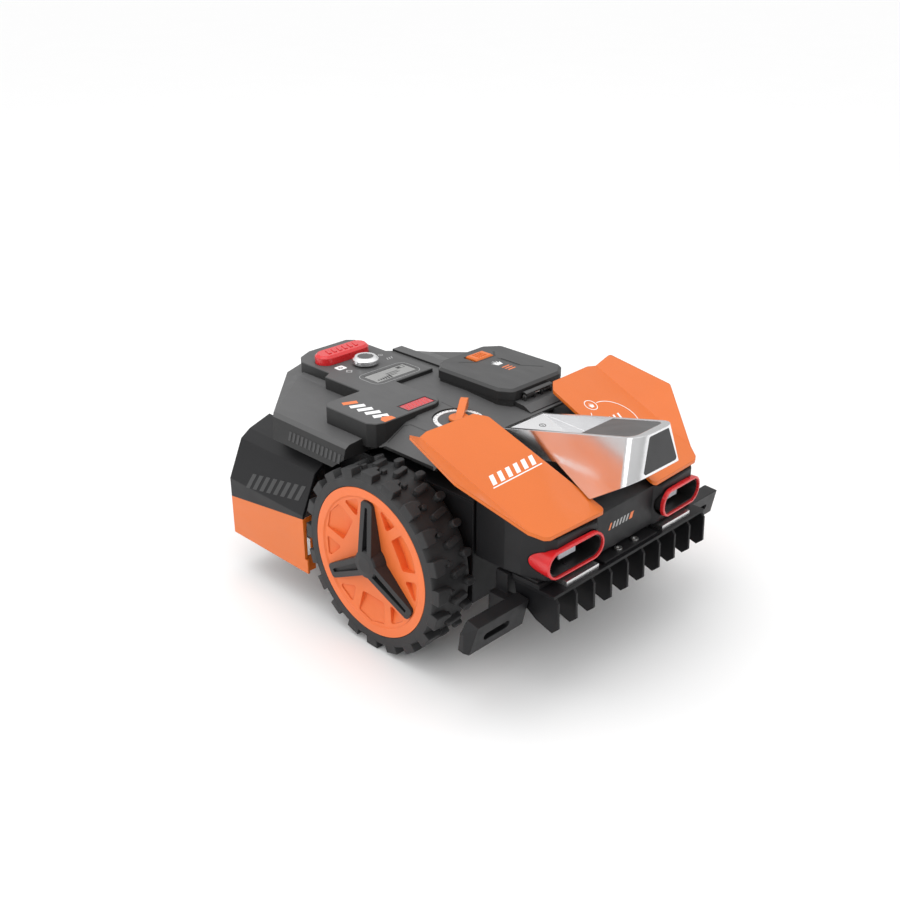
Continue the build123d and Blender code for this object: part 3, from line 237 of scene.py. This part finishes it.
finish = {
    # cover_grey and lid_grey paint shade onto their sideways faces (side below 1), so the walls come out
    # darker than the tops.
    "cover_grey": moulded("cover_grey", GREY, 0.50, texture=0.035, vary=0.05,
                          edge=1.0, specular=0.35, side=0.22),
    "lid_grey": moulded("lid_grey", tinted(GREY, 0.72), 0.48, texture=0.035, vary=0.05,
                        edge=1.2, specular=0.35, side=0.3),
    "black_plastic": moulded("black_plastic", BLACK, 0.42, texture=0.03, edge=2.0, specular=0.28),
    "comb_black": moulded("comb_black", (0.007, 0.007, 0.008), 0.42, texture=0.03, edge=0.8, specular=0.2),
    "orange_plastic": moulded("orange_plastic", ORANGE, 0.33, texture=0.012, vary=0.03,
                              edge=1.5, coat=0.10, specular=0.4),
    "wheel_orange": moulded("wheel_orange", (0.80, 0.165, 0.036), 0.42, texture=0.03, vary=0.04, edge=1.0),
    "hub_black": moulded("hub_black", (0.018, 0.018, 0.019), 0.40, texture=0.03, edge=0.9, specular=0.35),
    "red_plastic": moulded("red_plastic", (0.66, 0.016, 0.020), 0.24, texture=0.01, vary=0.04,
                           edge=1.5, coat=0.3),
    "red_window": moulded("red_window", (0.52, 0.03, 0.045), 0.16, texture=0.004, vary=0.08,
                          edge=0.3, coat=0.4),
    "bright_chrome": metal("bright_chrome", (0.86, 0.86, 0.87), 0.17, depth=0.004, edge=0.9),
    "tyre_rubber": rubber("tyre_rubber", (0.020, 0.020, 0.021)),
    "soft_rubber": rubber("soft_rubber", (0.018, 0.018, 0.018)),
    "steel": metal("steel", (0.56, 0.56, 0.55), 0.28, depth=0.02),
    "contact_metal": metal("contact_metal", (0.80, 0.80, 0.80), 0.30, depth=0.01),
    "clear_lens": clear("clear_lens", (0.62, 0.62, 0.66)),
    "dark_window": moulded("dark_window", (0.040, 0.040, 0.042), 0.34, texture=0.003, vary=0.05,
                           edge=0.4, specular=0.3),
    "display": moulded("display", (0.27, 0.27, 0.265), 0.28, texture=0.006, vary=0.06, edge=0.3),
    "white_scale": moulded("white_scale", (0.78, 0.78, 0.78), 0.4, texture=0.01, vary=0.03, edge=0.2),
    "circuit_board": circuit("circuit_board"),
    "battery_case": moulded("battery_case", (0.05, 0.05, 0.052), 0.5, edge=1.0),
    "camera_black": moulded("camera_black", (0.012, 0.012, 0.012), 0.3, edge=0.4),
    "print_white": moulded("print_white", (0.88, 0.88, 0.88), 0.42, texture=0.008, vary=0.02, edge=0.0),
    "print_orange": moulded("print_orange", (0.82, 0.19, 0.05), 0.40, texture=0.008, vary=0.03, edge=0.0),
    "print_grey": moulded("print_grey", (0.36, 0.36, 0.36), 0.42, texture=0.008, vary=0.04, edge=0.0),
    "print_dark": moulded("print_dark", (0.018, 0.018, 0.018), 0.5, texture=0.01, vary=0.06, edge=0.0),
    "print_shade": moulded("print_shade", (0.045, 0.045, 0.046), 0.38, texture=0.01, vary=0.06, edge=0.0),
    "plate_grey": moulded("plate_grey", (0.066, 0.066, 0.067), 0.36, texture=0.01, vary=0.04, edge=0.6),
}


def paint_cad_nodes():
    """Every CAD node takes the finish of its slot."""
    special = {"snout_plate": "plate_grey", "knob_cap": "plate_grey", "battery_lid": "lid_grey",
               "charging_contacts": "contact_metal", "headlamp_shrouds": "camera_black"}
    for part in frame["record"]["subparts"]:
        node = nodes[part["node"]]
        name = special.get(part["node"], part["material_slot"])
        node.data.materials.clear()
        node.data.materials.append(finish[name])
        for face in node.data.polygons:
            face.material_index = 0


# ---------------------------------------------------------------- mesh helpers
def add_mesh(name, vertices, faces, body, look, smooth=None):
    """A mesh piece from points in millimetres, riding on a body."""
    mesh = bpy.data.meshes.new(name)
    mesh.from_pydata([Vector(v) * MM for v in vertices], [], faces)
    bm = bmesh.new()
    bm.from_mesh(mesh)
    bmesh.ops.recalc_face_normals(bm, faces=bm.faces)
    bm.to_mesh(mesh)
    bm.free()
    piece = bpy.data.objects.new(name, mesh)
    bpy.context.scene.collection.objects.link(piece)
    mesh.materials.append(finish[look])
    if smooth is not None:
        mesh.shade_smooth()
        mesh.set_sharp_from_angle(angle=math.radians(smooth))
    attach(piece, body)
    return piece


def rounded_edges(piece, width, segments=2, angle=35.0):
    bevel = piece.modifiers.new("edges", "BEVEL")
    bevel.width = width * MM
    bevel.segments = segments
    bevel.limit_method = "ANGLE"
    bevel.angle_limit = math.radians(angle)
    return piece


class Stock:
    """Collects closed prisms and lathe rings before they become one mesh."""

    def __init__(self):
        self.vertices = []
        self.faces = []

    def loops(self, rings, closed=False, caps=True):
        """Joins rings of equal length, in order."""
        start = len(self.vertices)
        count = len(rings[0])
        for ring in rings:
            self.vertices += [tuple(p) for p in ring]
        steps = len(rings) if closed else len(rings) - 1
        for k in range(steps):
            a = start + k * count
            b = start + ((k + 1) % len(rings)) * count
            for n in range(count):
                m = (n + 1) % count
                self.faces.append((a + n, a + m, b + m, b + n))
        if caps and not closed:
            self.faces.append(tuple(start + n for n in range(count))[::-1])
            self.faces.append(tuple(start + (len(rings) - 1) * count + n for n in range(count)))


class Patch:
    """A flat place on a CAD surface that printed marks are laid on: u runs across, v runs up."""

    def __init__(self, node, start, direction, up):
        mesh = nodes[node].data
        tree = BVHTree.FromPolygons([v.co.copy() for v in mesh.vertices],
                                    [tuple(p.vertices) for p in mesh.polygons])
        hit, normal, _, _ = tree.ray_cast(Vector(start) * MM, Vector(direction).normalized())
        self.normal = normal if normal.dot(Vector(direction)) < 0 else -normal
        self.origin = hit / MM
        self.v = (Vector(up) - self.normal * self.normal.dot(Vector(up))).normalized()
        self.u = self.v.cross(self.normal).normalized()

    def point(self, u, v, height):
        return self.origin + self.u * u + self.v * v + self.normal * height


PRINT_DEPTH = 0.06
PRINT_HEIGHT = 0.14


def print_marks(name, patch, outlines, body, look, height=PRINT_HEIGHT):
    """Thin raised marks in one mesh; an outline is a list of (u, v) points, or a pair of rings."""
    stock = Stock()
    for shape in outlines:
        if isinstance(shape, tuple):
            outer, inner = shape
            stock.loops([[patch.point(u, v, -PRINT_DEPTH) for u, v in outer],
                         [patch.point(u, v, height) for u, v in outer],
                         [patch.point(u, v, height) for u, v in inner],
                         [patch.point(u, v, -PRINT_DEPTH) for u, v in inner]], closed=True)
        else:
            stock.loops([[patch.point(u, v, -PRINT_DEPTH) for u, v in shape],
                         [patch.point(u, v, height) for u, v in shape]])
    return add_mesh(name, stock.vertices, stock.faces, body, look)


def bar(u, v, width, height, slant=0.0):
    lean = slant * height / 2
    return [(u - width / 2 - lean, v - height / 2), (u + width / 2 - lean, v - height / 2),
            (u + width / 2 + lean, v + height / 2), (u - width / 2 + lean, v + height / 2)]


def arc(u, v, radius, start=0.0, stop=360.0, steps=40):
    angles = [math.radians(start + (stop - start) * n / steps) for n in range(steps + 1)]
    return [(u + radius * math.cos(a), v + radius * math.sin(a)) for a in angles]


def ring(u, v, radius, width):
    return (arc(u, v, radius)[:-1], arc(u, v, radius - width)[:-1])


def bow(u, v, radius, width, start, stop):
    """Part of a ring."""
    return arc(u, v, radius, start, stop) + arc(u, v, radius - width, stop, start)


def rounded(u, v, width, height, radius):
    points = []
    for cu, cv, start in ((1, 1, 0), (-1, 1, 90), (-1, -1, 180), (1, -1, 270)):
        points += arc(u + cu * (width / 2 - radius), v + cv * (height / 2 - radius), radius,
                      start, start + 90, 6)
    return points


def outline_band(u, v, width, height, radius, line):
    return (rounded(u, v, width, height, radius),
            rounded(u, v, width - 2 * line, height - 2 * line, max(radius - line, 0.1)))


def path_band(points, width):
    """A strip of even width along a few points."""
    pts = [Vector(p) for p in points]
    left, right = [], []
    for n, p in enumerate(pts):
        before = (p - pts[n - 1]).normalized() if n else (pts[1] - p).normalized()
        after = (pts[n + 1] - p).normalized() if n < len(pts) - 1 else before
        along = (before + after).normalized()
        side = Vector((-along.y, along.x)) * (width / 2 / max(0.3, along.dot(after)))
        left.append(tuple(p + side))
        right.append(tuple(p - side))
    return left + right[::-1]


def grass(u, v, size):
    """A tuft of five blades, the generic mark used on this machine."""
    blades = []
    for lean, height in ((-0.7, 0.6), (-0.35, 0.85), (0.0, 1.0), (0.35, 0.85), (0.7, 0.6)):
        foot = u + lean * size * 0.28
        tip = u + lean * size * 0.75
        blades.append([(foot - size * 0.07, v - size / 2), (foot + size * 0.07, v - size / 2),
                       ((foot + tip) / 2 + size * 0.07, v), (tip, v - size / 2 + size * height),
                       ((foot + tip) / 2 - size * 0.06, v)])
    return blades


# ---------------------------------------------------------------- tyres
ARC_R = 111.0               # radius that arc lengths round the tyre are measured at


def tread_lug(stock, side, hub_y, hub_z, shape, turn, low, high, draft):
    """One lug: an outline in (x, arc length) lifted from radius low to high."""
    middle = Vector((sum(p[0] for p in shape) / len(shape), sum(p[1] for p in shape) / len(shape)))
    rings = []
    for radius, shrink in ((low, 1.0), (high - 1.2, 1.0 - draft * 0.6), (high, 1.0 - draft * 1.6)):
        loop = []
        for x, s in shape:
            px = middle.x + (x - middle.x) * shrink
            ps = middle.y + (s - middle.y) * shrink
            angle = turn + ps / ARC_R
            loop.append((side * px, hub_y + radius * math.cos(angle), hub_z + radius * math.sin(angle)))
        rings.append(loop)
    stock.loops(rings)


def pill(x0, x1, s, width, skew):
    """A bar with round ends that runs across the tread."""
    half = width / 2
    points = []
    for cx, start in ((x1 - half, -90), (x0 + half, 90)):
        for n in range(7):
            a = math.radians(start + 30 * n)
            points.append((cx + half * math.cos(a), s + half * math.sin(a) + skew * (cx - (x0 + x1) / 2)))
    return points


def tyre(side_name, side):
    """Rubber tyre with a rounded carcass and three staggered rows of lugs; replaces the CAD one."""
    node = f"tyre_{side_name}"
    low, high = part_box(node)
    low, high = low / MM, high / MM
    hub_y, hub_z = (low.y + high.y) / 2, (low.z + high.z) / 2
    reach = (high.z - low.z) / 2
    outer = max(abs(low.x), abs(high.x))
    inner = min(abs(low.x), abs(high.x))
    crown = reach - 9.0
    body = f"wheel_{side_name}"
    profile = [(outer - 3.8, reach - 27.2), (outer - 3.8, reach - 22.8), (outer, reach - 22.2),
               (outer + 0.2, reach - 16.0), (outer + 0.1, crown - 2.0), (outer - 1.6, crown - 0.4),
               (outer - 8.0, crown), (outer - 20.0, crown + 0.7), (inner + 20.0, crown + 0.7),
               (inner + 8.0, crown),
               (inner + 3.4, crown - 0.8), (inner + 0.6, reach - 12.0), (inner, reach - 17.0),
               (inner + 1.0, reach - 25.0), (inner + 2.0, reach - 27.2)]
    stock = Stock()
    rings = []
    for n in range(96):
        a = 2 * math.pi * n / 96
        rings.append([(side * x, hub_y + r * math.cos(a), hub_z + r * math.sin(a)) for x, r in profile])
    stock.loops(rings, closed=True)
    carcass = add_mesh(f"tyre_carcass_{side_name}", stock.vertices, stock.faces, body, "tyre_rubber",
                       smooth=40)
    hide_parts(node)
    lugs = Stock()
    count = 20
    pitch = 2 * math.pi / count
    block = [(outer + 0.3, -9.5), (outer - 13, -9.5), (outer - 23, -6.5), (outer - 23, -1.0),
             (outer - 16, 1.0), (outer - 16, 8.0), (outer - 12, 9.5), (outer + 0.3, 9.5)]
    for n in range(count):
        turn = n * pitch
        tread_lug(lugs, side, hub_y, hub_z, block, turn, crown - 4, reach, 0.06)
        tread_lug(lugs, side, hub_y, hub_z, pill(outer - 52, outer - 27, 0, 8.5, 0.18), turn + pitch * 0.45,
                  crown - 2, reach - 1.5, 0.10)
        tread_lug(lugs, side, hub_y, hub_z, pill(inner, inner + 15, 0, 10.0, 0.0), turn + pitch * 0.95,
                  crown - 4, reach - 0.5, 0.10)
        tread_lug(lugs, side, hub_y, hub_z, pill(outer - 31, outer - 22, 0, 6.0, 0.0), turn + pitch * 0.06,
                  crown - 2, reach - 3.0, 0.12)
    tread = add_mesh(f"tyre_lugs_{side_name}", lugs.vertices, lugs.faces, body, "tyre_rubber", smooth=50)
    rounded_edges(tread, 0.9)


# ---------------------------------------------------------------- printed and small parts
def console_marks():
    flat = Patch("console", (-80, 160, 400), (0, 0, -1), (0, 1, 0))
    ox, oy = flat.origin.x, flat.origin.y

    def at(points):
        return [(u - ox, v - oy) for u, v in points]

    def shift(shape):
        return tuple(at(r) for r in shape) if isinstance(shape, tuple) else at(shape)

    white = [(rounded(-65, 193, 14, 13, 2.5), rounded(-65, 193, 6.5, 6.0, 1.5)), bar(-65, 193, 3.0, 2.6)]
    print_marks("start_icon", flat, [shift(s) for s in white], "cover", "print_white")
    diamond = [(-65, 181), (-59.5, 175), (-65, 169), (-70.5, 175)]
    grey = [(diamond, [(-65, 178.4), (-61.8, 175), (-65, 171.6), (-68.2, 175)]), bar(4, 174, 1.6, 7, 0.5),
            bar(8, 174, 1.6, 7, 0.5), bar(12, 174, 1.6, 7, 0.5),
            ring(7, 192, 3.6, 1.0), bar(7, 192, 1.2, 3.0),
            outline_band(-31, 131, 84, 44, 12, 0.7)]
    print_marks("menu_icons", flat, [shift(s) for s in grey], "cover", "print_grey")
    block_marks = []
    for n in range(5):
        block_marks.append(path_band([(-146, 94 - n * 14.5), (-128, 86 - n * 14.5)], 8.5))
    print_marks("brow_bars", flat, [shift(s) for s in block_marks[1:]], "cover", "print_white")
    ends = [block_marks[0], [(-146, 14), (-128, 14), (-128, 22), (-137, 30), (-146, 22)]]
    print_marks("brow_bar_ends", flat, [shift(s) for s in ends], "cover", "print_orange")


def display_marks():
    glass = Patch("lcd_display", (-30, 130, 400), (0, 0, -1), (0, 1, 0))
    ox, oy = glass.origin.x, glass.origin.y
    low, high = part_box("lcd_display")
    left, right, near, far = low.x / MM - ox, high.x / MM - ox, low.y / MM - oy, high.y / MM - oy
    shapes = [outline_band((left + right) / 2, (near + far) / 2, right - left - 1, far - near - 1, 1.5, 0.5)]
    for n in range(6):
        shapes.append(bar(left + 8 + n * 4.2, near + 7, 2.4, 3.0 + n * 1.4, 0.2))
    shapes += [bar(left + 40, near + 17, 22, 1.2), bar(left + 40, near + 13, 22, 1.2),
               bar(left + 36, near + 9, 14, 1.2)]
    shapes += [outline_band(right - 11, far - 7, 13, 7, 1.0, 0.8), bar(right - 13.5, far - 7, 5.5, 3.6)]
    print_marks("display_symbols", glass, shapes, "cover", "print_dark", 0.1)
    window = Patch("indicator_window", (-78, 29, 400), (0, 0, -1), (0, 1, 0))
    low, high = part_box("indicator_window")
    cx, cy = (low.x + high.x) / 2 / MM - window.origin.x, (low.y + high.y) / 2 / MM - window.origin.y
    wide, deep = (high.x - low.x) / MM, (high.y - low.y) / MM
    print_marks("indicator_frame", window, [outline_band(cx, cy, wide - 0.4, deep - 0.4, 2.0, 1.6)], "cover",
                "print_dark", 0.5)
    glow = [bar(cx - wide / 2 + 8 + n * 5.6, cy, 3.2, deep - 9, 0.35) for n in range(7)]
    print_marks("indicator_bars", window, glow, "cover", "red_plastic", 0.1)


def dial_marks():
    low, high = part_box("dial_ring")
    scale = Patch("dial_ring", ((low.x / MM) + 2.5, (low.y + high.y) / 2 / MM, 400), (0, 0, -1), (0, 1, 0))
    cx = (low.x + high.x) / 2 / MM - scale.origin.x
    cy = (low.y + high.y) / 2 / MM - scale.origin.y
    radius = (high.x - low.x) / 2 / MM
    marks = []
    for n in range(25):
        a = math.radians(150 - n * 10)
        long = 3.6 if n % 4 == 0 else 1.8
        c, s = math.cos(a), math.sin(a)
        marks.append(path_band([(cx + (radius - 0.5) * c, cy + (radius - 0.5) * s),
                                (cx + (radius - 0.5 - long) * c, cy + (radius - 0.5 - long) * s)], 0.7))
    print_marks("dial_ticks", scale, marks, "cover", "print_dark", 0.08)


def lid_marks():
    top = Patch("battery_lid", (40, 10, 400), (0, 0, -1), (0, 1, 0))
    ox, oy = top.origin.x, top.origin.y
    lines = [[(39, 70), (56, 53), (92, 53), (104, 66)], [(88.5, 45), (88.5, 6), (108, -21)]]
    bands = [[(u - ox, v - oy) for u, v in path_band(line, 3.0)] for line in lines]
    print_marks("lid_grooves", top, bands, "battery_lid", "print_dark", 0.05)
    tuft = [[(u - ox, v - oy) for u, v in blade] for blade in grass(73, 32, 16)]
    print_marks("lid_tuft", top, tuft, "battery_lid", "print_white")
    stripes = [bar(73 - ox, 15 - oy - n * 5.5, 14, 2.4, 0.0) for n in range(3)]
    print_marks("lid_stripes", top, stripes, "battery_lid", "print_orange")


def hinge_shroud():
    """A curved lip of the lid that covers the hinge's knuckles."""
    low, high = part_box("lid_hinge_pin")
    low, high = low / MM, high / MM
    hinge_y, hinge_z = (low.y + high.y) / 2, (low.z + high.z) / 2
    left, right = low.x + 0.5, high.x - 0.5
    section = []
    for radius, sweep in ((6.2, range(30, 136, 15)), (4.8, range(135, 29, -15))):
        section += [(hinge_y + radius * math.cos(math.radians(a)),
                     hinge_z + radius * math.sin(math.radians(a))) for a in sweep]
    stock = Stock()
    stock.loops([[(x, y, z) for y, z in section] for x in (left, right)])
    add_mesh("hinge_shroud", stock.vertices, stock.faces, "battery_lid", "lid_grey", smooth=40)


def stop_marks():
    top = Patch("stop_button", (-35, 225, 400), (0, 0, -1), (0, 1, 0))
    shapes = [bar(-24 + n * 9.6, 0, 5.0, 13, 0.3) for n in range(6)]
    print_marks("stop_ridges", top, shapes, "stop_button", "red_plastic", 0.9)


def latch_ridges():
    low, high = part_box("lid_latch")
    cx, cy = (low.x + high.x) / 2 / MM, (low.y + high.y) / 2 / MM
    top = Patch("lid_latch", (cx, cy, 400), (0, 0, -1), (0, 1, 0))
    ridges = [bar(-7 + n * 4.5, 0, 1.4, 13) for n in range(4)]
    print_marks("latch_ridges", top, ridges, "latch", "orange_plastic", 0.6)


def deck_seams():
    spots = [((-42.5, 66), (-42.5, -50)), ((-146, 10), (-118, 11)), ((-118, 11), (-113, 4)),
             ((-113, 4), (-113, -27))]
    stock = Stock()
    for a, b in spots:
        steps = 12
        start, stop = Vector(a), Vector(b)
        side = Vector((-(stop - start).y, (stop - start).x)).normalized() * 0.55
        left, right = [], []
        for n in range(steps + 1):
            p = start.lerp(stop, n / steps)
            z = Patch("top_cover", (p.x, p.y, 400), (0, 0, -1), (0, 1, 0)).origin.z
            left.append((p.x + side.x, p.y + side.y, z + 0.07))
            right.append((p.x - side.x, p.y - side.y, z + 0.07))
        rings = [[l, r, (r[0], r[1], r[2] - 0.2), (l[0], l[1], l[2] - 0.2)] for l, r in zip(left, right)]
        stock.loops(rings)
    add_mesh("deck_seams", stock.vertices, stock.faces, "cover", "print_dark")


def wing_marks():
    right = Patch("wing_panel_right", (-104, -156, 600), (0, 0, -1), (0, 1, 0))
    shapes = [bar(37 - n * 13.5, 1, 7.0, 14, 0.45) for n in range(6)]
    shapes.append(path_band([(-40, -9), (44, -9)], 1.6))
    print_marks("wing_bars", right, shapes, "cover", "print_white")
    left = Patch("wing_panel_left", (100, -150, 600), (0, 0, -1), (0, 1, 0))
    shapes = [bow(0, 0, 34, 1.1, 140, 352), bow(0, 0, 34, 1.1, -8, 92), ring(-13, 33, 9.5, 1.1)]
    shapes += grass(-13, 33, 9)
    shapes += [bar(-9 + n * 9, -1, 3.2, 14, 0.3) for n in range(3)]
    print_marks("wing_ring", left, shapes, "cover", "print_white")


def fascia_marks():
    front = Patch("front_fascia", (-8, -400, 178), (0, 1, 0), (0, 0, 1))
    shapes = [bar(-14 + n * 6.5, 0, 3.4, 8.5, 0.4) for n in range(5)]
    print_marks("fascia_bars", front, shapes, "chassis", "print_grey")
    print_marks("fascia_tip", front, [bar(20, 0, 6.0, 8.5, 0.4), bar(-21, 0, 3.0, 8.5, 0.4)], "chassis",
                "print_orange")


def guard_marks():
    shoulder = Patch("edge_guard_shell", (-400, 152, 153), (1, 0, 0), (0, 0.15, 1))
    shapes = [bar(-54 + n * 14.0, 0, 8.0, 20, 0.5) for n in range(8)]
    print_marks("guard_bars", shoulder, shapes, "chassis", "print_shade", 0.25)


def cover_side_ribs():
    side = Patch("top_cover", (-400, 90, 226), (1, 0, 0), (0, 0, 1))
    shapes = [bar(-50 + n * 8.0, -1.0, 4.4, 12.0, 0.0) for n in range(13)]
    print_marks("side_ribs", side, shapes, "cover", "print_shade", 0.5)


def snout_marks():
    rear = Patch("snout_shell", (0, -110, 600), (0, 0, -1), (0, 1, 0))
    shapes = [ring(4, 0, 4.4, 1.0), bar(4, 0, 1.2, 3.4)]
    shapes += [bar(-16 + n * 5, -14, 2.0, 3.0, 0.3) for n in range(3)]
    print_marks("snout_icons", rear, shapes, "cover", "print_shade")


# ---------------------------------------------------------------- studio
SKY_LOW = 0.45              # brightness of the studio at the horizon and overhead
SKY_HIGH = 1.25


def studio():
    scene = bpy.context.scene
    scene.view_settings.view_transform = "Standard"
    scene.view_settings.look = "None"
    world = bpy.data.worlds.new("studio")
    scene.world = world
    world.use_nodes = True
    tree = world.node_tree
    direction = tree.nodes.new("ShaderNodeTexCoord").outputs["Generated"]
    height = tree.nodes.new("ShaderNodeSeparateXYZ")
    tree.links.new(direction, height.inputs["Vector"])
    sky = tree.nodes.new("ShaderNodeMapRange")
    for socket, value in (("From Min", 0.0), ("From Max", 0.8), ("To Min", SKY_LOW), ("To Max", SKY_HIGH)):
        sky.inputs[socket].default_value = value
    tree.links.new(height.outputs["Z"], sky.inputs["Value"])
    tree.nodes["Background"].inputs["Color"].default_value = (1.0, 1.0, 1.0, 1.0)
    tree.links.new(sky.outputs["Result"], tree.nodes["Background"].inputs["Strength"])

    def area(name, place, aim, size, power):
        data = bpy.data.lights.new(name, "AREA")
        data.size = size
        data.energy = power
        lamp = bpy.data.objects.new(name, data)
        bpy.context.scene.collection.objects.link(lamp)
        lamp.location = place
        lamp.rotation_euler = (Vector(place) - Vector(aim)).to_track_quat("Z", "Y").to_euler()

    area("key", (-0.3, 0.5, 2.6), (0.0, 0.0, 0.0), 2.2, 16.0)
    area("side", (-2.4, 0.3, 1.1), (0.0, 0.0, 0.15), 1.4, 10.0)

    floor = Shader("studio_floor")
    drift = floor.noise(3.0, 3.0)
    floor.link(floor.blend(floor.spread(drift, 0.0, 1.0), (0.915, 0.915, 0.915), (0.920, 0.920, 0.920)),
               floor.shader.inputs["Base Color"])
    floor.set(Roughness=0.9, Specular_IOR_Level=0.1)
    bm = bmesh.new()
    bmesh.ops.create_grid(bm, x_segments=8, y_segments=8, size=25.0)
    mesh = bpy.data.meshes.new("floor")
    bm.to_mesh(mesh)
    bm.free()
    plane = bpy.data.objects.new("floor", mesh)
    bpy.context.scene.collection.objects.link(plane)
    mesh.materials.append(floor.material)


make_camera()
paint_cad_nodes()
for name, sign in (("right", -1), ("left", 1)):
    tyre(name, sign)
console_marks()
display_marks()
dial_marks()
lid_marks()
hinge_shroud()
stop_marks()
latch_ridges()
deck_seams()
wing_marks()
fascia_marks()
guard_marks()
cover_side_ribs()
snout_marks()
studio()
